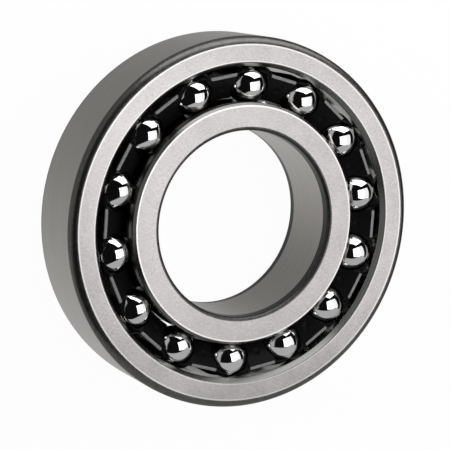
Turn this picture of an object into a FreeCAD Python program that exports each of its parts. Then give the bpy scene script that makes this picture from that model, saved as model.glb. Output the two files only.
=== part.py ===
import FreeCAD, Part

import os

import Sketcher

# Self-aligning ball bearing: two rows of balls run in two grooves of the inner ring
# and roll on one spherical raceway in the outer ring, held by one moulded snap cage.
# The origin is the centre of the bearing, +Z runs along its axis, all sizes in mm.

doc = FreeCAD.newDocument("self_aligning_ball_bearing")

# Driving sizes

SIZES = (
    ("bore_diameter", "40"),
    ("outside_diameter", "80"),
    ("ring_width", "18"),
    # edges of the seats: rounded outside, and a longer lead into the bore for the shaft
    ("outer_corner", "1.65"),
    ("bore_corner", "1.1"),
    ("bore_corner_length", "2.0"),
    # beside the balls: mouth of the spherical raceway, shoulders of the inner ring
    ("mouth_chamfer", "1.1"),
    ("shoulder_height", "0.52"),
    ("shoulder_chamfer", "0.55"),
    # the balls, as a share of the space between bore and outside, and where they run
    ("ball_share", "0.43655"),
    ("balls_per_row", "14"),
    ("pitch_inset", "0.15"),
    ("row_offset", "4.2"),
    ("race_clearance", "0.05"),
    ("groove_conformity", "0.52"),
    # the cage: its gaps to the rings and its pockets
    ("cage_bore_gap", "1.4"),
    ("cage_race_gap", "0.6"),
    ("pocket_clearance", "0.18"),
    ("pocket_wall", "0.8"),
    # the dished front reaches these shares of a ball's radius up from its centre
    ("bore_rise", "0.2"),
    ("hood_rise", "0.87"),
    # the webs: how far their outer side stands back, and the flat land beside it
    ("web_set_back", "1.81"),
    ("land_width", "0.7"),
)

# Sizes that follow from the driving ones
WORKED_OUT = (
    ("half_width", "=ring_width / 2"),
    ("ball_diameter", "=ball_share * (outside_diameter - bore_diameter) / 2"),
    ("ball_radius", "=ball_diameter / 2"),
    ("half_pitch", "=180 / balls_per_row"),
    # the balls run just inside the middle between the bore and the outside
    ("pitch_radius", "=(bore_diameter + outside_diameter) / 4 - pitch_inset"),
    ("shoulder_radius", "=pitch_radius - ball_radius + shoulder_height"),
    ("centre_distance", "=sqrt(pitch_radius^2 + row_offset^2)"),
    ("raceway_radius", "=centre_distance + ball_radius + race_clearance"),
    # the groove's centre lies past the ball's, on the line from the bearing's centre
    ("groove_radius", "=groove_conformity * ball_diameter"),
    ("groove_share", "=(centre_distance + groove_radius - ball_radius - race_clearance) / centre_distance"),
    ("groove_centre_out", "=pitch_radius * groove_share"),
    ("groove_centre_up", "=row_offset * groove_share"),
    ("groove_half", "=sqrt(groove_radius^2 - (groove_centre_out - shoulder_radius)^2)"),
    ("pocket_radius", "=ball_radius + pocket_clearance"),
    ("hood_radius", "=pocket_radius + pocket_wall"),
    ("cage_bore", "=shoulder_radius + cage_bore_gap"),
    ("cage_ball", "=raceway_radius - cage_race_gap"),
    ("bore_top", "=row_offset + bore_rise * ball_radius"),
    ("hood_top", "=row_offset + hood_rise * ball_radius"),
    ("web_flat", "=cage_ball - web_set_back"),
    ("land_start", "=web_flat - land_width"),
    # where a hood's round side would meet the raceway, along and across the ball's radius
    ("exit_out", "=(raceway_radius^2 + pitch_radius^2 - hood_radius^2) / (2 * pitch_radius)"),
    ("exit_across", "=sqrt(raceway_radius^2 - exit_out^2)"),
    # the recess between two hoods is as deep as the other row's balls, and shows them
    ("web_floor", "=-row_offset"),
)

sizes = doc.addObject("Spreadsheet::Sheet", "sizes")
for row, (alias, text) in enumerate(SIZES + WORKED_OUT, start=1):
    sizes.set(f"A{row}", alias)
    sizes.set(f"B{row}", text)
    sizes.setAlias(f"B{row}", alias)
doc.recompute()

BALLS_PER_ROW = int(sizes.balls_per_row)
ROWS = (
    # name, side of the middle plane, angle of the first ball in half pitches
    ("front", 1, 1),
    ("rear", -1, 0),
)


# Sketches whose corners and radii are bound to the sheet


def origin_plane(body, role):
    """One of the body's own origin planes or axes."""
    return next(item for item in body.Origin.OriginFeatures if item.Role == role)


def value(owner, text):
    """The number that an expression gives."""
    found = owner.evalExpression(text)
    return float(getattr(found, "Value", found))


def bound_sketch(body, name, role):
    """An empty sketch on one of the body's own origin planes."""
    sketch = body.newObject("Sketcher::SketchObject", name)
    sketch.AttachmentSupport = (origin_plane(body, role), [""])
    sketch.MapMode = "FlatFace"
    return sketch


def bind_constraint(sketch, constraint, text):
    """Add a dimension and tie it to an expression."""
    index = sketch.addConstraint(constraint)
    sketch.setExpression(f"Constraints[{index}]", text)


def draw_outline(sketch, corners, arcs=()):
    """A closed outline through corners, each a pair of expressions.

    The edge that leaves a corner is straight, unless arcs names the corner with the radius
    and the centre of an arc shorter than a half circle, again as expressions.
    """
    arcs = dict(arcs)
    places = [FreeCAD.Vector(value(sketch, x), value(sketch, y), 0) for x, y in corners]
    first, last = [], []
    for index, start in enumerate(places):
        end = places[(index + 1) % len(places)]
        clockwise = False
        if index in arcs:
            radius, (centre_x, centre_y) = arcs[index]
            centre = FreeCAD.Vector(value(sketch, centre_x), value(sketch, centre_y), 0)
            outwards = (start + end) / 2 - centre
            middle = centre + outwards.normalize() * value(sketch, radius)
            clockwise = (start - centre).cross(end - centre).z < 0
            sketch.addGeometry(Part.Arc(start, middle, end), False)
        else:
            sketch.addGeometry(Part.LineSegment(start, end), False)
        # arcs are kept counter-clockwise, so one drawn the other way starts at its end
        first.append(2 if clockwise else 1)
        last.append(1 if clockwise else 2)
    for index, (x, y) in enumerate(corners):
        following = (index + 1) % len(corners)
        sketch.addConstraint(
            Sketcher.Constraint("Coincident", index, last[index], following, first[following])
        )
        for kind, text in (("DistanceX", x), ("DistanceY", y)):
            bind_constraint(
                sketch,
                Sketcher.Constraint(kind, -1, 1, index, first[index], value(sketch, text)),
                text,
            )
        if index in arcs:
            radius = arcs[index][0]
            bind_constraint(
                sketch, Sketcher.Constraint("Radius", index, value(sketch, radius)), radius
            )


def revolve(body, name, corners, arcs=()):
    """Turn an outline drawn in the XZ plane once round the bearing's axis."""
    sketch = bound_sketch(body, f"{name}_outline", "XZ_Plane")
    draw_outline(sketch, corners, arcs)
    turned = body.newObject("PartDesign::Revolution", name)
    turned.Profile = sketch
    turned.ReferenceAxis = (sketch, ["V_Axis"])
    turned.Angle = 360
    sketch.Visibility = False
    doc.recompute()
    return turned


def circles_of(feature, text):
    """The names of the circular edges on both faces that have the radius of an expression."""
    radius = value(feature, text)
    top = value(feature, "sizes.half_width")
    return [
        f"Edge{index}"
        for index, edge in enumerate(feature.Shape.Edges, start=1)
        if isinstance(edge.Curve, Part.Circle)
        and abs(edge.Curve.Radius - radius) < 1e-6
        and abs(abs(edge.Curve.Center.z) - top) < 1e-6
    ]


def dress(body, kind, name, base, size_property, size_text, radius_text):
    """Round or bevel the edges of one radius on both faces of a ring."""
    feature = body.newObject(f"PartDesign::{kind}", name)
    feature.Base = (base, circles_of(base, radius_text))
    feature.setExpression(size_property, size_text)
    doc.recompute()
    return feature


# Outer ring: plain cylinder outside, one spherical raceway inside


def make_outer_ring():
    body = doc.addObject("PartDesign::Body", "outer_ring")
    mouth = "sqrt(sizes.raceway_radius^2 - sizes.half_width^2)"
    ring = revolve(
        body,
        "outer_ring_blank",
        [
            ("sizes.outside_diameter / 2", "-sizes.half_width"),
            ("sizes.outside_diameter / 2", "sizes.half_width"),
            (mouth, "sizes.half_width"),
            (mouth, "-sizes.half_width"),
        ],
        {2: ("sizes.raceway_radius", ("0", "0"))},
    )
    ring = dress(body, "Chamfer", "mouth_bevel", ring, "Size", "sizes.mouth_chamfer", mouth)
    dress(
        body, "Fillet", "outer_corners", ring, "Radius", "sizes.outer_corner",
        "sizes.outside_diameter / 2",
    )
    return body


# Inner ring: cylindrical bore, two deep grooves with a shoulder on each side


def make_inner_ring():
    body = doc.addObject("PartDesign::Body", "inner_ring")
    bore = "sizes.bore_diameter / 2"
    shoulder = "sizes.shoulder_radius"
    near = "sizes.groove_centre_up - sizes.groove_half"
    far = "sizes.groove_centre_up + sizes.groove_half"
    ring = revolve(
        body,
        "inner_ring_blank",
        [
            (f"{bore} + sizes.bore_corner", "-sizes.half_width"),
            (shoulder, "-sizes.half_width"),
            (shoulder, f"-({far})"),
            (shoulder, f"-({near})"),
            (shoulder, near),
            (shoulder, far),
            (shoulder, "sizes.half_width"),
            (f"{bore} + sizes.bore_corner", "sizes.half_width"),
            (bore, "sizes.half_width - sizes.bore_corner_length"),
            (bore, "-(sizes.half_width - sizes.bore_corner_length)"),
        ],
        {
            2: ("sizes.groove_radius", ("sizes.groove_centre_out", "-sizes.groove_centre_up")),
            4: ("sizes.groove_radius", ("sizes.groove_centre_out", "sizes.groove_centre_up")),
        },
    )
    dress(body, "Chamfer", "shoulder_bevel", ring, "Size", "sizes.shoulder_chamfer", shoulder)
    return body


# Cage: one moulded ring with a snap pocket for each ball, open to both faces. Each face
# is dished towards the bore. A hood stands over the outer side of every ball. Between two
# hoods the web is set back from the raceway to a flat, with a narrow land along its front.


def web_outline(body, name, level, turn):
    """The space between two hoods, from the web's flat outwards, seen along the axis."""
    sketch = bound_sketch(body, name, "XY_Plane")
    sketch.setExpression("AttachmentOffset.Base.z", level)
    sketch.setExpression("AttachmentOffset.Rotation.Angle", turn)
    doc.recompute()
    ball_out = "sizes.pitch_radius * cos(sizes.half_pitch)"
    ball_across = "sizes.pitch_radius * sin(sizes.half_pitch)"
    start = "sizes.web_flat"
    inner = f"{ball_across} - sqrt(sizes.hood_radius^2 - ({start} - {ball_out})^2)"
    turn_out, turn_across = "cos(sizes.half_pitch)", "sin(sizes.half_pitch)"
    exit_out = f"sizes.exit_out * {turn_out} + sizes.exit_across * {turn_across}"
    exit_across = f"sizes.exit_out * {turn_across} - sizes.exit_across * {turn_out}"
    draw_outline(
        sketch,
        [
            (start, f"-({inner})"),
            (exit_out, f"-({exit_across})"),
            (exit_out, exit_across),
            (start, inner),
        ],
        {
            0: ("sizes.hood_radius", (ball_out, f"-({ball_across})")),
            2: ("sizes.hood_radius", (ball_out, ball_across)),
        },
    )
    sketch.Visibility = False
    return sketch


def web_recess(body, name, side, turn):
    """Clear the space between two hoods from its floor out to the face."""
    upper_end = "sizes.half_width" if side > 0 else "-sizes.web_floor"
    sketch = web_outline(body, f"{name}_outline", upper_end, turn)
    cut = body.newObject("PartDesign::Pocket", name)
    cut.Profile = sketch
    cut.setExpression("Length", "sizes.half_width - sizes.web_floor")
    doc.recompute()
    return cut


def snap_pocket(body, name, side, angle):
    """The ball-shaped pocket of one ball, which the web's front leaves open as a mouth."""
    pocket = body.newObject("PartDesign::SubtractiveSphere", name)
    pocket.setExpression("Radius", "sizes.pocket_radius")
    pocket.setExpression("Placement.Base.x", f"sizes.pitch_radius * cos({angle})")
    pocket.setExpression("Placement.Base.y", f"sizes.pitch_radius * sin({angle})")
    pocket.setExpression("Placement.Base.z", f"{side} * sizes.row_offset")
    doc.recompute()
    return pocket


def repeat_round(body, name, feature):
    """Repeat a feature evenly round the cage, once for each ball of a row."""
    pattern = body.newObject("PartDesign::PolarPattern", name)
    pattern.Originals = [feature]
    pattern.Axis = (origin_plane(body, "Z_Axis"), [""])
    pattern.Angle = 360
    pattern.setExpression("Occurrences", "sizes.balls_per_row")
    body.Tip = pattern
    doc.recompute()


def make_cage():
    body = doc.addObject("PartDesign::Body", "cage")
    hood_edge = "sqrt(sizes.cage_ball^2 - sizes.hood_top^2)"
    revolve(
        body,
        "cage_blank",
        [
            ("sizes.cage_bore", "-sizes.bore_top"),
            ("sizes.land_start", "-sizes.hood_top"),
            (hood_edge, "-sizes.hood_top"),
            (hood_edge, "sizes.hood_top"),
            ("sizes.land_start", "sizes.hood_top"),
            ("sizes.cage_bore", "sizes.bore_top"),
        ],
        {2: ("sizes.cage_ball", ("0", "0"))},
    )
    for name, side, half_pitches in ROWS:
        ball_angle = f"{half_pitches} * sizes.half_pitch"
        web_angle = f"{half_pitches + 1} * sizes.half_pitch"
        recess = web_recess(body, f"{name}_web_recess", side, web_angle)
        repeat_round(body, f"{name}_web_recesses", recess)
        pocket = snap_pocket(body, f"{name}_pocket", side, ball_angle)
        repeat_round(body, f"{name}_pockets", pocket)
    return body


# Balls: both rows on one pitch circle, the rear row half a pitch behind the front one


def make_ball(row_name, side, half_pitches, number):
    ball = doc.addObject("Part::Sphere", f"ball_{row_name}_{number:02d}")
    angle = f"({half_pitches + 2 * (number - 1)} * sizes.half_pitch)"
    ball.setExpression("Radius", "sizes.ball_radius")
    ball.setExpression("Placement.Base.x", f"sizes.pitch_radius * cos({angle})")
    ball.setExpression("Placement.Base.y", f"sizes.pitch_radius * sin({angle})")
    ball.setExpression("Placement.Base.z", f"{side} * sizes.row_offset")
    return ball


pieces = [make_outer_ring(), make_inner_ring(), make_cage()]
for row_name, side, half_pitches in ROWS:
    for number in range(1, BALLS_PER_ROW + 1):
        pieces.append(make_ball(row_name, side, half_pitches, number))
for piece in pieces:
    piece.Label = piece.Name
doc.recompute()

# Nothing is written unless every feature and every piece is sound

for item in doc.Objects:
    if {"Invalid", "Error"} & set(item.State):
        raise RuntimeError(f"{item.Label} could not be built")
for piece in pieces:
    if piece.Shape.isNull() or not piece.Shape.isValid() or len(piece.Shape.Solids) != 1:
        raise RuntimeError(f"{piece.Label} is not one sound solid")

os.makedirs("parts", exist_ok=True)
for piece in pieces:
    piece.Shape.exportStep(f"parts/{piece.Label}.step")
    print(f"{piece.Label}: {piece.Shape.Volume:.1f} mm3")
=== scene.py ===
import math

import bpy
import numpy as np
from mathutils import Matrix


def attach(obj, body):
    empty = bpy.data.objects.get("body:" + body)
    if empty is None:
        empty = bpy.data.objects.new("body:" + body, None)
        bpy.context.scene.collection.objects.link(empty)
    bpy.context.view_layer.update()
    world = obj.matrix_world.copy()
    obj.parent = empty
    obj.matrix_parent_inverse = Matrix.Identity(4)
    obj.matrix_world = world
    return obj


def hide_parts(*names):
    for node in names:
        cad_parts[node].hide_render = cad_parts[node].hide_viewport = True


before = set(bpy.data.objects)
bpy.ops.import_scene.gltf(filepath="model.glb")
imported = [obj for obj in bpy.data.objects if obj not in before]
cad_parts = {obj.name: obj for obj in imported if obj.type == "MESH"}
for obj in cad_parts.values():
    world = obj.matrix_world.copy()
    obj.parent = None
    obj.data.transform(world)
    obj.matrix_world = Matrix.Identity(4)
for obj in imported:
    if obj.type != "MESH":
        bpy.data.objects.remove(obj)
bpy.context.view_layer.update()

MM = 0.001

# Camera: a long lens about 40 cm away that looks down on the face at 62 degrees,
# level with the photograph's upright, so that the ring leans as it does there.

photo_width, focal_pixels, sensor_width = 450, 1837, 36
camera_place = np.array([-179.22, 53.98, 351.35]) * MM
camera_right = np.array([0.8935, 0.0700, 0.4436])
camera_up = np.array([0.0, 0.9878, -0.1559])
camera_back = np.cross(camera_right, camera_up)

camera = bpy.data.objects.new("camera", bpy.data.cameras.new("camera"))
camera.data.sensor_width = sensor_width
camera.data.lens = sensor_width * focal_pixels / photo_width
camera.data.clip_start = 0.01
turned = np.identity(4)
turned[:3, :3] = np.column_stack([camera_right, camera_up, camera_back])
turned[:3, 3] = camera_place
camera.matrix_world = turned.T.tolist()
bpy.context.collection.objects.link(camera)
bpy.context.scene.camera = camera


# Outer ring: bearing steel, turned, hardened and ground. The seat and both side faces
# are ground to a satin, the corners keep the dull turned skin, the raceway is honed.


class Link:
    """An output of a shader node. Sums and products on it add Math nodes to its tree."""

    def __init__(self, finish, socket):
        self.finish, self.socket = finish, socket

    def output(self, name):
        """Another output of the same node."""
        return Link(self.finish, self.socket.node.outputs[name])

    def math(self, operation, *operands):
        return self.finish.node(
            "ShaderNodeMath", {"operation": operation}, dict(enumerate(operands))
        )

    def __add__(self, other):
        return self.math("ADD", self, other)

    def __sub__(self, other):
        return self.math("SUBTRACT", self, other)

    def __rsub__(self, other):
        return self.math("SUBTRACT", other, self)

    def __mul__(self, other):
        return self.math("MULTIPLY", self, other)

    def __abs__(self):
        return self.math("ABSOLUTE", self)

    __radd__ = __add__
    __rmul__ = __mul__


class Finish:
    """The shader tree of one material or of the world."""

    def __init__(self, owner):
        owner.use_nodes = True
        self.owner, self.tree = owner, owner.node_tree
        self.tree.nodes.clear()

    def node(self, kind, settings=None, sockets=None):
        """Add a node: its settings or ramp stops first, then values or links of its sockets."""
        made = self.tree.nodes.new(kind)
        for name, setting in (settings or {}).items():
            if name == "stops":
                ramp = made.color_ramp
                while len(ramp.elements) < len(setting):
                    ramp.elements.new(1)
                for element, (place, tone) in zip(ramp.elements, setting):
                    element.position, element.color = place, (tone, tone, tone, 1)
            else:
                setattr(made, name, setting)
        for name, given in (sockets or {}).items():
            if isinstance(given, Link):
                self.tree.links.new(given.socket, made.inputs[name])
            else:
                made.inputs[name].default_value = given
        shown = [socket for socket in made.outputs if socket.enabled]
        return Link(self, shown[0]) if shown else None

    def place(self, scale=(1, 1, 1), turn=(0, 0, 0)):
        """The point on the piece in the bearing's frame, stretched and turned."""
        point = self.node("ShaderNodeTexCoord").output("Object")
        return self.node(
            "ShaderNodeMapping", {}, {"Vector": point, "Scale": scale, "Rotation": turn}
        )

    def noise(self, point, scale, detail, rough=0.5):
        """Cloudy noise between nought and one, with so many finer layers of itself."""
        return self.node(
            "ShaderNodeTexNoise",
            {},
            {"Vector": point, "Scale": scale, "Detail": detail, "Roughness": rough},
        )

    def ramp(self, factor, *stops):
        """A grey that runs straight between stops, each a place and a tone."""
        return self.node("ShaderNodeValToRGB", {"stops": stops}, {"Fac": factor})

    def mix(self, factor, first, second):
        """A colour between two, each a triple or a link."""
        colours = [given if isinstance(given, Link) else (*given, 1) for given in (first, second)]
        return self.node(
            "ShaderNodeMix", {"data_type": "RGBA"}, {0: factor, 6: colours[0], 7: colours[1]}
        )

    def bump(self, strength, distance, height):
        """Normals tipped by the slope of a height, whose full step is given in metres."""
        sockets = {"Strength": strength, "Distance": distance, "Height": height}
        return self.node("ShaderNodeBump", {}, sockets)

    def surface(self, **sockets):
        """Close the material with one Principled shader."""
        names = {name.replace("_", " "): given for name, given in sockets.items()}
        shader = self.node("ShaderNodeBsdfPrincipled", {}, names)
        self.node("ShaderNodeOutputMaterial", {}, {"Surface": shader})
        return self.owner


def new_finish(name):
    return Finish(bpy.data.materials.new(name))


def radius_of(finish):
    """Distance from the bearing's axis, in metres."""
    flat = finish.node(
        "ShaderNodeVectorMath",
        {"operation": "MULTIPLY"},
        {0: finish.node("ShaderNodeTexCoord").output("Object"), 1: (1, 1, 0)},
    )
    length = finish.node("ShaderNodeVectorMath", {"operation": "LENGTH"}, {0: flat})
    return length.output("Value")


def ground_face(name, inner_edge, outer_edge, dark, light):
    """Side faces: a satin of very fine grinding marks with a grain and faint cloudy patches,
    with a painted highlight, a pale hair line along both edges, whose radii are given in mm.
    A point's way to the nearer edge is half the face less its distance from the middle radius."""
    finish = new_finish(name)
    wheel_slant = (0, 0, 0.35)
    marks = finish.noise(finish.place((1100, 3200, 1100), wheel_slant), 1.0, 3)
    grain = finish.noise(finish.place((2100, 2100, 2100)), 1.0, 3, 0.7)
    clouds = finish.noise(finish.place(), 160.0, 3, 0.6)
    texture = marks * 0.3 + grain * 0.4 + clouds * 0.3
    tone = finish.ramp(texture, (0.36, 0.0), (0.64, 1.0))
    ground = finish.mix(tone, dark, light)
    middle, reach = (inner_edge + outer_edge) / 2, (outer_edge - inner_edge) / 2
    from_middle = abs(radius_of(finish) * (1 / MM) - middle)
    # painted highlight: the base colour turns pale in a hair line along both edges
    painted_edge_highlight = finish.ramp(reach - from_middle, (0.24, 1.0), (0.40, 0.0))
    return finish.surface(
        Base_Color=finish.mix(painted_edge_highlight, ground, (0.86, 0.835, 0.83)),
        Metallic=1.0,
        Roughness=0.30 + texture * 0.06 + clouds * 0.06,
        Normal=finish.bump(0.30, 0.00002, texture),
    )


def ground_seat():
    """Cylindrical seats: a finer satin with grinding lines that run round the ring."""
    finish = new_finish("ground_seat")
    lines = finish.noise(finish.place((60, 60, 9000)), 1.0, 3, 0.6)
    clouds = finish.noise(finish.place(), 110.0, 3, 0.6)
    tone = finish.ramp(lines, (0.32, 0.0), (0.68, 1.0))
    return finish.surface(
        Base_Color=finish.mix(tone, (0.43, 0.412, 0.388), (0.54, 0.518, 0.487)),
        Metallic=1.0,
        Roughness=0.24 + clouds * 0.08,
        Normal=finish.bump(0.15, 0.00002, lines),
    )


def turned_corner(name, dark, light):
    """Corners: the slightly wavy skin that turning and hardening leave."""
    finish = new_finish(name)
    waves = finish.noise(finish.place((900, 900, 3500)), 1.0, 3, 0.6)
    tone = finish.ramp(waves, (0.3, 0.0), (0.7, 1.0))
    return finish.surface(
        Base_Color=finish.mix(tone, dark, light), Metallic=1.0, Roughness=0.30 + waves * 0.10
    )


def ground_bevel():
    """Bevels beside the raceways: ground in one pass, with rings of fine lines."""
    finish = new_finish("ground_bevel")
    lines = finish.noise(finish.place((120, 120, 7000)), 1.0, 3, 0.6)
    tone = finish.ramp(lines, (0.3, 0.0), (0.7, 1.0))
    return finish.surface(
        Base_Color=finish.mix(tone, (0.17, 0.17, 0.165), (0.27, 0.27, 0.26)),
        Metallic=1.0,
        Roughness=0.22 + lines * 0.08,
    )


def honed_race():
    """Raceway and grooves: honed almost to a mirror, with hair lines along the run."""
    finish = new_finish("honed_race")
    lines = finish.noise(finish.place((80, 80, 12000)), 1.0, 2, 0.6)
    tone = finish.ramp(lines, (0.3, 0.0), (0.7, 1.0))
    return finish.surface(
        Base_Color=finish.mix(tone, (0.40, 0.395, 0.375), (0.50, 0.494, 0.468)),
        Metallic=1.0,
        Roughness=0.13 + lines * 0.06,
    )


def arc_points(centre, radius, start, end, count):
    """Points along an arc: the centre plus the radius times the cosine and sine of an
    angle that runs evenly from start to end. The unit outward normals come with them."""
    angles = np.radians(np.linspace(start, end, count))
    normals = np.column_stack([np.cos(angles), np.sin(angles)])
    return np.array(centre) + radius * normals, normals


def rounded_outline(corners, steps=6):
    """Outline through corners, each (radius, height, rounding): at a corner the two sides
    are joined by an arc whose centre lies one rounding in from both. Returns the points,
    the outward normals, and for each point the number of the side that it leads along, or
    inside an arc -1 less the number of its corner."""
    places = np.array([corner[:2] for corner in corners], float)
    ahead = np.roll(places, -1, 0) - places
    ahead /= np.linalg.norm(ahead, axis=1)[:, None]
    points, normals, sides = [], [], []
    for number, (_, _, rounding) in enumerate(corners):
        into, out = ahead[number - 1], ahead[number]
        first, last = np.array([into[1], -into[0]]), np.array([out[1], -out[0]])
        turn = into[0] * out[1] - into[1] * out[0]
        half = math.tan(math.acos(np.clip(into @ out, -1, 1)) / 2)
        tangent = places[number] - into * rounding * half
        centre = tangent - first * rounding * np.sign(turn)
        start = math.atan2(first[1], first[0])
        end = math.atan2(last[1], last[0])
        end = start + (end - start + math.pi) % (2 * math.pi) - math.pi
        angles = np.linspace(start, end, steps + 1)
        arc = np.column_stack([np.cos(angles), np.sin(angles)])
        points.append(centre + rounding * np.sign(turn) * arc)
        normals.append(arc)
        sides.append(np.r_[np.full(steps, -1 - number), number])
    return np.vstack(points), np.vstack(normals), np.concatenate(sides)


def grid_faces(rows, columns, wrap_rows, wrap_columns):
    """Quads between neighbouring points of a grid, closed on itself where it wraps."""
    down = np.arange(rows if wrap_rows else rows - 1)
    along = np.arange(columns if wrap_columns else columns - 1)
    down, along = (part.ravel() for part in np.meshgrid(down, along, indexing="ij"))
    below, beside = (down + 1) % rows, (along + 1) % columns
    return np.column_stack(
        [
            down * columns + along,
            down * columns + beside,
            below * columns + beside,
            below * columns + along,
        ]
    )


def new_piece(name, points, faces, normals, finishes, indices=None):
    """A mesh object in metres from points in mm, faces as lists of point numbers and exact
    normals. The indices give each face's place among the finishes."""
    mesh = bpy.data.meshes.new(name)
    mesh.from_pydata((points * MM).tolist(), [], faces)
    for finish in finishes:
        mesh.materials.append(finish)
    if indices is not None:
        mesh.polygons.foreach_set("material_index", indices.astype(np.int32))
    mesh.polygons.foreach_set("use_smooth", np.ones(len(mesh.polygons), bool))
    mesh.update()
    mesh.normals_split_custom_set_from_vertices(normals.tolist())
    piece = bpy.data.objects.new(name, mesh)
    bpy.context.collection.objects.link(piece)
    return piece


def revolved(name, outline, normals, finishes, indices, segments=384):
    """A closed outline carried round the axis: a point at angle a stands at the outline's
    radius times the cosine and sine of a, and at the outline's own height."""
    angles = np.linspace(0, 2 * np.pi, segments, endpoint=False)[:, None]
    wave, tilt = np.cos(angles), np.sin(angles)
    level = np.ones_like(angles)

    def carried(pair):
        radial, height = pair.T
        return np.stack([wave * radial, tilt * radial, level * height], 2).reshape(-1, 3)

    faces = grid_faces(segments, len(outline), True, True)[:, ::-1].tolist()
    indices = np.tile(indices, segments)
    return new_piece(name, carried(outline), faces, carried(normals), finishes, indices)


def finish_numbers(sides, side_finish, corner_finish):
    """The finish of each outline point's piece of surface: that of the side it leads along,
    or inside a corner's rounding that of the corner."""
    on_side, on_corner = np.maximum(sides, 0), -1 - np.minimum(sides, -1)
    side_finish, corner_finish = np.array(side_finish), np.array(corner_finish)
    return np.where(sides >= 0, side_finish[on_side], corner_finish[on_corner])


half_width, outside_radius, bore_radius = 9.0, 40.0, 20.0
pitch_radius, row_offset, ball_radius, race_clearance = 29.85, 4.2, 8.731 / 2, 0.05
outer_corner, mouth_chamfer, mouth_break, race_break = 1.65, 1.1, 0.3, 0.1
centre_distance = math.hypot(pitch_radius, row_offset)
raceway_radius = centre_distance + ball_radius + race_clearance
mouth_radius = math.sqrt(raceway_radius**2 - half_width**2)

# the bevel meets the raceway one chamfer down its slope
mouth_angle = math.asin(half_width / raceway_radius) - mouth_chamfer / raceway_radius
race_end = raceway_radius * np.array([math.cos(mouth_angle), math.sin(mouth_angle)])
outline, outward, sides = rounded_outline(
    [
        (race_end[0], -race_end[1], race_break),
        (mouth_radius + mouth_chamfer, -half_width, mouth_break),
        (outside_radius, -half_width, outer_corner),
        (outside_radius, half_width, outer_corner),
        (mouth_radius + mouth_chamfer, half_width, mouth_break),
        (race_end[0], race_end[1], race_break),
    ]
)
mouth_degrees, race_points, race_side = math.degrees(mouth_angle), 50, 5
race_arc, race_normals = arc_points(
    (0, 0), raceway_radius, mouth_degrees, -mouth_degrees, race_points
)
# the last side, from the upper edge of the raceway to the lower one, follows its arc
outline = np.vstack([outline, race_arc[1:-1]])
outward = np.vstack([outward, -race_normals[1:-1]])
sides = np.concatenate([sides, np.full(race_points - 2, race_side)])
# finish of the side that leaves each corner, then of each corner's own arc
face, seat, race, bevel, corner = range(5)
indices = finish_numbers(
    sides, [bevel, face, seat, face, bevel, race], [bevel, bevel, corner, corner, bevel, bevel]
)
shared_finishes = [ground_seat(), honed_race(), ground_bevel()]
outer_skin = turned_corner("outer_corner_skin", (0.11, 0.108, 0.104), (0.18, 0.176, 0.17))
outer_face = ground_face(
    "outer_ring_face",
    mouth_radius + mouth_chamfer,
    outside_radius - outer_corner,
    (0.46, 0.44, 0.438),
    (0.70, 0.67, 0.668),
)
outer_ring = revolved(
    "outer_ring_steel", outline, outward, [outer_face, *shared_finishes, outer_skin], indices
)
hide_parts("outer_ring")
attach(outer_ring, "outer_ring")


# Inner ring: the same steel and grinding, with two deep honed grooves for the balls,
# a shoulder on each side and a ground bore that the shaft is pressed into.

bore_corner, bore_lead, bore_flare, lead_break = 0.86, 2.3, 0.12, 0.5
shoulder_height, shoulder_chamfer, shoulder_break, edge_break = 0.52, 0.55, 0.1, 0.13
groove_conformity, groove_points = 0.52, 28
shoulder_radius = pitch_radius - ball_radius + shoulder_height
groove_radius = groove_conformity * 2 * ball_radius
groove_share = 1 + (groove_radius - ball_radius - race_clearance) / centre_distance
groove_out, groove_up = pitch_radius * groove_share, row_offset * groove_share
groove_half = math.sqrt(groove_radius**2 - (groove_out - shoulder_radius) ** 2)
groove_angle = math.degrees(math.asin(groove_half / groove_radius))
outline, outward, sides = rounded_outline(
    [
        (bore_radius, bore_lead - half_width, lead_break),
        (bore_radius + bore_flare, -half_width, bore_corner),
        (shoulder_radius - shoulder_chamfer, -half_width, edge_break),
        (shoulder_radius, -half_width + shoulder_chamfer, shoulder_break),
        (shoulder_radius, half_width - shoulder_chamfer, shoulder_break),
        (shoulder_radius - shoulder_chamfer, half_width, edge_break),
        (bore_radius + bore_flare, half_width, bore_corner),
        (bore_radius, half_width - bore_lead, lead_break),
    ]
)
groove_ends = 180 + groove_angle, 180 - groove_angle
grooves = [
    arc_points((groove_out, side * groove_up), groove_radius, *groove_ends, groove_points)
    for side in (-1, 1)
]
# the grooves lie on the side that runs up between the two shoulder bevels, and have a
# number of their own after those of the sides, up to where that side goes on
shoulder_side, groove_side = 3, 8
after = int(np.argmax(sides == shoulder_side)) + 1
outline = np.vstack([outline[:after], grooves[0][0], grooves[1][0], outline[after:]])
outward = np.vstack([outward[:after], -grooves[0][1], -grooves[1][1], outward[after:]])
groove_sides = np.full(groove_points, groove_side)
groove_sides[-1] = shoulder_side
sides = np.concatenate([sides[:after], groove_sides, groove_sides, sides[after:]])
indices = finish_numbers(
    sides,
    [corner, face, bevel, seat, bevel, face, corner, seat, race],
    [corner, corner, face, bevel, bevel, face, corner, corner],
)
# the inner face's tones are darker than the outer face's: painted shade on the same steel
inner_face = ground_face(
    "inner_ring_face",
    bore_radius,
    shoulder_radius - shoulder_chamfer,
    (0.39, 0.373, 0.371),
    (0.60, 0.574, 0.572),
)
bore_skin = turned_corner("bore_corner_skin", (0.06, 0.059, 0.058), (0.11, 0.108, 0.106))
inner_ring = revolved(
    "inner_ring_steel", outline, outward, [inner_face, *shared_finishes, bore_skin], indices
)
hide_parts("inner_ring")
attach(inner_ring, "inner_ring")


# Cage: one black moulding for both rows, snapped over the balls. Each face is dished
# towards the bore, a hood closes over the outer side of every ball, and between two hoods
# the web ends in a flat with a narrow land along its front. Every edge is rounded.

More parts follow.
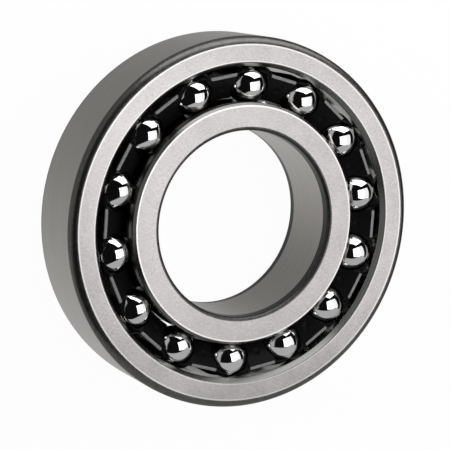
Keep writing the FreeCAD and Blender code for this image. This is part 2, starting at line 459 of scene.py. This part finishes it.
balls_per_row = 14
cage_bore, cage_ball, pocket_radius, hood_radius = 26.65, 33.959, 4.5455, 5.3455
web_flat, land_height, land_length = 32.149, 7.998, 6.1
land_middle, land_half, land_root = 31.799, 0.35, 6.5
dish_slope, dish_height = math.radians(35.9), 4.257
mark_radius, mark_height, mark_place = 1.3, 1.12, 29.1
brow_slope, brow_start = math.radians(38), 32.4
lead_slope, lead_reach, lead_blend = math.radians(57), 32.1, 0.5
web_lead, hood_lead = 4.42, 3.25
# roundings, from the crisp edges of the lands to the corner deep in a recess
crisp, recess_edge, pocket_edge = 0.1, 0.14, 0.16
front_edge, rim_edge, recess_corner = 0.3, 0.4, 0.5
# each side of the cage, and the share of a pitch at which its balls start
sides_of_cage = ((1, 0.5), (-1, 0.0))


def from_web(turn, start):
    """The angle from the middle of the nearest web: the part of a pitch that is over, less
    a half, times the pitch. The first ball stands at the given share of a pitch."""
    pitch = 2 * math.pi / balls_per_row
    return ((turn / pitch - start) % 1 - 0.5) * pitch


def rounded_most(first, second, rounding):
    """The larger of two depths, and where they are nearly alike a little more, by a
    parabola one rounding wide, so that their crease becomes a rounded edge."""
    overlap = np.maximum(rounding - np.abs(first - second), 0)
    return np.maximum(first, second) + overlap**2 / (4 * rounding)


def outside_cage(points):
    """How far points lie outside the plastic, in mm, less than nought inside it: the most
    of the depths outside the bore, the ball-shaped outer side, and each face's dish, front
    and sloping brow, then of the depths inside each recess. A land is joined on. The cone
    that leads a ball into its pocket, the pocket itself and the small ball-shaped mark of
    an ejector pin are taken out."""
    radius, turn = np.hypot(points[0], points[1]), np.arctan2(points[1], points[0])
    skin = np.hypot(radius, points[2]) - cage_ball
    skin = rounded_most(skin, cage_bore - radius, rim_edge)
    for side, start in sides_of_cage:
        level = side * points[2]
        web_turn, ball_turn = from_web(turn, start), from_web(turn, start + 0.5)
        web_out, web_across = radius * np.cos(web_turn), radius * np.sin(web_turn)
        ball_along, ball_across = radius * np.cos(ball_turn), radius * np.sin(ball_turn)
        ball_out = np.hypot(ball_along - pitch_radius, ball_across)
        ball_up = level - row_offset
        dish = (level - dish_height) * math.cos(dish_slope)
        dish = dish - (web_out - cage_bore) * math.sin(dish_slope)
        brow = (level - land_height) * math.cos(brow_slope)
        brow = brow + (radius - brow_start) * math.sin(brow_slope)
        front = rounded_most(dish, level - land_height, crisp)
        front = rounded_most(front, brow, front_edge)
        skin = rounded_most(skin, front, front_edge)
        hood = hood_radius - np.hypot(ball_out, np.maximum(ball_up, 0))
        recess = rounded_most(web_flat - web_out, -row_offset - level, recess_corner)
        skin = rounded_most(skin, -rounded_most(recess, hood, rim_edge), recess_edge)
        land = np.abs(web_out - land_middle) - land_half
        land = rounded_most(land, level - land_height, crisp)
        land = rounded_most(land, np.abs(web_across) - land_length / 2, crisp)
        land = rounded_most(land, land_root - level, crisp)
        skin = -rounded_most(-skin, -land, crisp)
        lead_ends = (lead_reach - lead_blend, lead_reach + lead_blend)
        lead_radius = np.interp(ball_along, lead_ends, (web_lead, hood_lead))
        lead = (level - land_height) * math.cos(lead_slope)
        lead = lead + (lead_radius - ball_out) * math.sin(lead_slope)
        skin = rounded_most(skin, lead, crisp)
        skin = rounded_most(skin, pocket_radius - np.hypot(ball_out, ball_up), pocket_edge)
        mark_level = dish_height + (mark_place - cage_bore) * math.tan(dish_slope)
        along = (web_out - mark_place) * math.cos(dish_slope)
        along = along + (level - mark_level) * math.sin(dish_slope)
        mark = mark_radius - np.hypot(np.hypot(along, web_across), dish - mark_height)
        skin = rounded_most(skin, mark, pocket_edge)
    return skin


def steepest(depth_of, points, reach=0.01):
    """How fast a depth grows along each axis: its change over a short way, divided by it."""
    ways = reach * np.eye(3)[:, :, None]
    return np.stack(
        [(depth_of(points + way) - depth_of(points - way)) / (2 * reach) for way in ways]
    )


def moulded_skin(depth_of, grid):
    """The surface on which a depth is nought, found on a grid round the axis. A cell that it
    passes gets one point: the mean of where it crosses the cell's edges, then moved along
    the steepest way by the depth that is left. A grid edge that it crosses gets the quad of
    the four cells around that edge, turned so that it faces the empty side."""
    depth = depth_of(grid)
    steps = np.eye(3, dtype=int)

    def shifted(values, offset):
        return np.roll(values, -offset, (-3, -2, -1))

    total, crossings = np.zeros_like(grid), np.zeros_like(depth)
    for way in range(3):
        for ahead in (0, 1):
            for beside in (0, 1):
                near = ahead * steps[way - 1] + beside * steps[way - 2]
                first, second = shifted(depth, near), shifted(depth, near + steps[way])
                crossed = (first < 0) != (second < 0)
                share = np.where(crossed, first, 0) / np.where(crossed, first - second, 1)
                start, end = shifted(grid, near), shifted(grid, near + steps[way])
                total += crossed * (start + share * (end - start))
                crossings += crossed
    passed = crossings > 0
    points = total[:, passed] / crossings[passed]
    flattest, longest_move = 0.05, 0.1
    for _ in range(4):
        slope = steepest(depth_of, points)
        left = depth_of(points) / np.maximum((slope**2).sum(0), flattest)
        points = points - slope * np.clip(left, -longest_move, longest_move)
    number = np.cumsum(passed).reshape(passed.shape) - 1
    quads = []
    for way in range(3):
        ahead, beside = steps[(way + 1) % 3], steps[(way + 2) % 3]
        crossed = (depth < 0) != (shifted(depth, steps[way]) < 0)
        cells = np.argwhere(crossed)
        around = [cells - ahead - beside, cells - beside, cells, cells - ahead]
        ring = np.column_stack([number[tuple((cell % depth.shape).T)] for cell in around])
        empty_first = depth[crossed] >= 0
        ring[empty_first] = ring[empty_first][:, ::-1]
        quads.append(ring)
    normals = steepest(depth_of, points)
    return points.T, np.vstack(quads), (normals / np.linalg.norm(normals, axis=0)).T


def moulded_plastic():
    """Black polyamide with a faint orange peel."""
    finish = new_finish("moulded_plastic")
    peel = finish.noise(finish.place(), 2600.0, 2, 0.5)
    clouds = finish.noise(finish.place(), 300.0, 2, 0.5)
    return finish.surface(
        Base_Color=finish.mix(clouds, (0.004, 0.004, 0.0045), (0.008, 0.008, 0.009)),
        IOR=1.16,
        Roughness=0.22 + clouds * 0.12,
        Normal=finish.bump(0.10, 0.00003, peel),
    )


def painted_land_highlight():
    """The lands' front: a painted highlight, a pale grey with a mottled tone."""
    finish = new_finish("painted_land_highlight")
    highlight_mottle = finish.noise(finish.place((2600, 2600, 2600)), 1.0, 3, 0.6)
    tone = finish.ramp(highlight_mottle, (0.35, 0.0), (0.65, 1.0))
    return finish.surface(
        Base_Color=finish.mix(tone, (0.13, 0.127, 0.13), (0.24, 0.236, 0.24)),
        Roughness=0.30 + highlight_mottle * 0.15,
    )


# the grid is finer round the lands, and its rounds run straight across the nearer webs
radii = np.concatenate([np.arange(25.8, 31.2, 0.36), np.arange(31.275, 34.5, 0.2)])
outer_heights = np.arange(6.0, 8.4, 0.22)
heights = np.concatenate([-outer_heights[::-1], np.linspace(-5.7, 5.7, 28), outer_heights])
turns_per_pitch = 36
turns = np.linspace(0, 2 * np.pi, turns_per_pitch * balls_per_row, endpoint=False)
radius, turn, height = np.meshgrid(radii, turns, heights, indexing="ij")
front_share = np.clip(0.5 + height / row_offset / 2, 0, 1)
(_, front_start), (_, rear_start) = sides_of_cage
radius = radius * (
    front_share / np.cos(from_web(turn, front_start))
    + (1 - front_share) / np.cos(from_web(turn, rear_start))
)
grid = np.stack([radius * np.cos(turn), radius * np.sin(turn), height])
points, faces, normals = moulded_skin(outside_cage, grid)
middles = points[faces].mean(1)
middle_radius, middle_turn = np.hypot(*middles.T[:2]), np.arctan2(middles[:, 1], middles[:, 0])
# faces on the front of a land, which get the painted highlight instead of black plastic
on_land, land_rim = np.zeros(len(faces), bool), 0.07
for side, start in sides_of_cage:
    web_turn = from_web(middle_turn, start)
    on_land |= (
        (side * middles[:, 2] > land_height - land_rim)
        & (np.abs(middle_radius * np.cos(web_turn) - land_middle) < land_half)
        & (np.abs(middle_radius * np.sin(web_turn)) < land_length / 2)
    )
plastics = [moulded_plastic(), painted_land_highlight()]
cage_moulding = new_piece("cage_moulding", points, faces.tolist(), normals, plastics, on_land)
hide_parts("cage")
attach(cage_moulding, "cage")


# Balls: through-hardened steel, lapped to a mirror, fourteen in each row. The rear row
# stands half a pitch behind the front one.


def lapped_ball():
    """Ball steel: a mirror with the faintest haze."""
    finish = new_finish("lapped_ball")
    haze = finish.noise(finish.place(), 420.0, 3, 0.6)
    tone = finish.ramp(haze, (0.35, 0.0), (0.65, 1.0))
    return finish.surface(
        Base_Color=finish.mix(tone, (0.80, 0.80, 0.805), (0.84, 0.84, 0.845)),
        Metallic=1.0,
        Roughness=0.03 + haze * 0.03,
    )


def ball_surface(centre, radius, rings=40, around=80):
    """Points of a sphere: the centre plus the radius times the direction of a longitude
    and a latitude, each on an even grid, and one point at either pole."""
    latitude = np.linspace(-np.pi / 2, np.pi / 2, rings + 1)[1:-1, None]
    longitude = np.linspace(0, 2 * np.pi, around, endpoint=False)[None]
    directions = np.stack(
        [
            np.cos(latitude) * np.cos(longitude),
            np.cos(latitude) * np.sin(longitude),
            np.sin(latitude) * np.ones_like(longitude),
        ],
        2,
    ).reshape(-1, 3)
    directions = np.vstack([directions, [[0, 0, -1]], [[0, 0, 1]]])
    quads = grid_faces(rings - 1, around, False, True)
    below, above = len(directions) - 2, len(directions) - 1
    first = np.arange(around)
    following = (first + 1) % around
    last = (rings - 2) * around
    caps = [
        *np.column_stack([np.full(around, below), following, first]).tolist(),
        *np.column_stack([np.full(around, above), last + first, last + following]).tolist(),
    ]
    return centre + radius * directions, quads.tolist() + caps, directions


ball_finish = lapped_ball()
for row, side, start in (("front", 1, 1), ("rear", -1, 0)):
    for number in range(balls_per_row):
        angle = (start + 2 * number) * math.pi / balls_per_row
        centre = np.array(
            [pitch_radius * math.cos(angle), pitch_radius * math.sin(angle), side * row_offset]
        )
        points, faces, normals = ball_surface(centre, ball_radius)
        node = f"ball_{row}_{number + 1:02d}"
        ball = new_piece(f"{node}_steel", points, faces, normals, [ball_finish])
        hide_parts(node)
        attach(ball, node)


# Stage: a pale floor under the bearing, which the lens sees as white, and around it the
# panels of a small light tent: a softbox in three strips, a ceiling and a low pale table.

white = (1, 1, 1, 1)


def flat_sheet(name, corners, finish):
    """One face through three or more corners, in mm, that belongs to the stage."""
    mesh = bpy.data.meshes.new(name)
    mesh.from_pydata((np.array(corners, float) * MM).tolist(), [], [tuple(range(len(corners)))])
    mesh.materials.append(finish)
    sheet = bpy.data.objects.new(name, mesh)
    bpy.context.collection.objects.link(sheet)
    return sheet


def pale_floor():
    """A pale matt floor that the lens sees nearly white, but for the bearing's shadow."""
    finish, shown_white, mirrored_white = new_finish("pale_floor"), 0.97, 0.15
    path = finish.node("ShaderNodeLightPath")
    seen_white = path.output("Is Camera Ray") * shown_white
    seen_white = seen_white + path.output("Is Glossy Ray") * mirrored_white
    seen_white = seen_white + path.output("Is Transmission Ray") * shown_white
    pale = finish.node("ShaderNodeBsdfDiffuse", {}, {"Color": (0.8, 0.8, 0.8, 1)})
    bright = finish.node("ShaderNodeEmission", {}, {"Color": white, "Strength": 1.0})
    mixed = finish.node("ShaderNodeMixShader", {}, {0: seen_white, 1: pale, 2: bright})
    finish.node("ShaderNodeOutputMaterial", {}, {"Surface": mixed})
    return finish.owner


reach = 4000
corners = [(-reach, -reach), (reach, -reach), (reach, reach), (-reach, reach)]
floor = flat_sheet("floor", [(x, y, -half_width) for x, y in corners], pale_floor())
floor.visible_glossy = False


def panel(name, corners, strength):
    """A glowing sheet through its corners, unseen by the lens itself."""
    finish = new_finish(name)
    glow = finish.node("ShaderNodeEmission", {}, {"Color": white, "Strength": strength})
    finish.node("ShaderNodeOutputMaterial", {}, {"Surface": glow})
    sheet = flat_sheet(name, corners, finish.owner)
    sheet.visible_camera = False
    sheet.visible_shadow = False


def from_lens(right, up, back):
    """A place given by mm to the right, up and back from the bearing's centre, as the lens
    sees it: the sum of the three directions, each times its distance."""
    return right * camera_right + up * camera_up + back * camera_back


key_centre = np.array([59, 1, 96])
key_side, key_rise = np.array([58, 9, -25]), np.array([10, -46, -7])
for name, left, right, strength in (
    ("key_left", -1, -0.4, 2.0),
    ("key_middle", -0.4, 0.2, 1.45),
    ("key_right", 0.2, 1, 1.1),
):
    shares = ((left, -1), (right, -1), (right, 1), (left, 1))
    panel(name, [key_centre + a * key_side + b * key_rise for a, b in shares], strength)
panel(
    "tent_ceiling",
    [
        from_lens(95, 64, 90),
        from_lens(125, 76, 0),
        from_lens(120, 125, -20),
        from_lens(-60, 125, 60),
        from_lens(-12, 92, 85),
    ],
    2.2,
)
panel(
    "tent_table",
    [
        from_lens(-110, -46, 30),
        from_lens(110, -46, 30),
        from_lens(110, -46, -30),
        from_lens(-110, -46, -30),
    ],
    0.45,
)

world = bpy.data.worlds.new("tent")
bpy.context.scene.world = world
finish = Finish(world)
path = finish.node("ShaderNodeLightPath")
toward = finish.node("ShaderNodeTexCoord").output("Generated")


def share_toward(direction):
    """How far a ray of the world points along a direction, from -1 to 1."""
    return finish.node(
        "ShaderNodeVectorMath", {"operation": "DOT_PRODUCT"}, {0: toward, 1: direction}
    ).output("Value")


# in reflections the room over the horizon is dark, but for two pale walls, one of them
# low; under it the room is pale and fades towards the far side; one corner is dark
level = share_toward((0, 0, 1))
side_wall = finish.ramp(share_toward((-0.97, 0.24, 0)), (0.72, 0.0), (0.78, 1.0))
side_wall = side_wall * finish.ramp(level, (0.46, 0.42), (0.56, 0.0))
near_wall = finish.ramp(share_toward((0.488, -0.873, 0)), (0.62, 0.0), (0.645, 0.46))
dark_corner = finish.ramp(share_toward((0.94, 0.34, 0)), (0.62, 0.0), (0.75, 1.0))
fading = finish.ramp(share_toward((0.26, -0.97, 0)) * 0.5 + 0.5, (0.265, 0.30), (0.735, 0.62))
under = fading * (1 - dark_corner * 0.65)
over = (side_wall + near_wall) * (1 - dark_corner) + 0.004
walls = finish.mix(finish.ramp(level * 0.5 + 0.5, (0.48, 0.0), (0.5, 1.0)), under, over)
# matt surfaces see an even grey room, and the lens sees white
glow = finish.mix(path.output("Is Glossy Ray"), (0.55, 0.55, 0.55), walls)
glow = finish.mix(path.output("Is Camera Ray"), glow, white[:3])
background = finish.node("ShaderNodeBackground", {}, {"Color": glow, "Strength": 1.0})
finish.node("ShaderNodeOutputWorld", {}, {"Surface": background})

bpy.context.scene.view_settings.view_transform = "Standard"
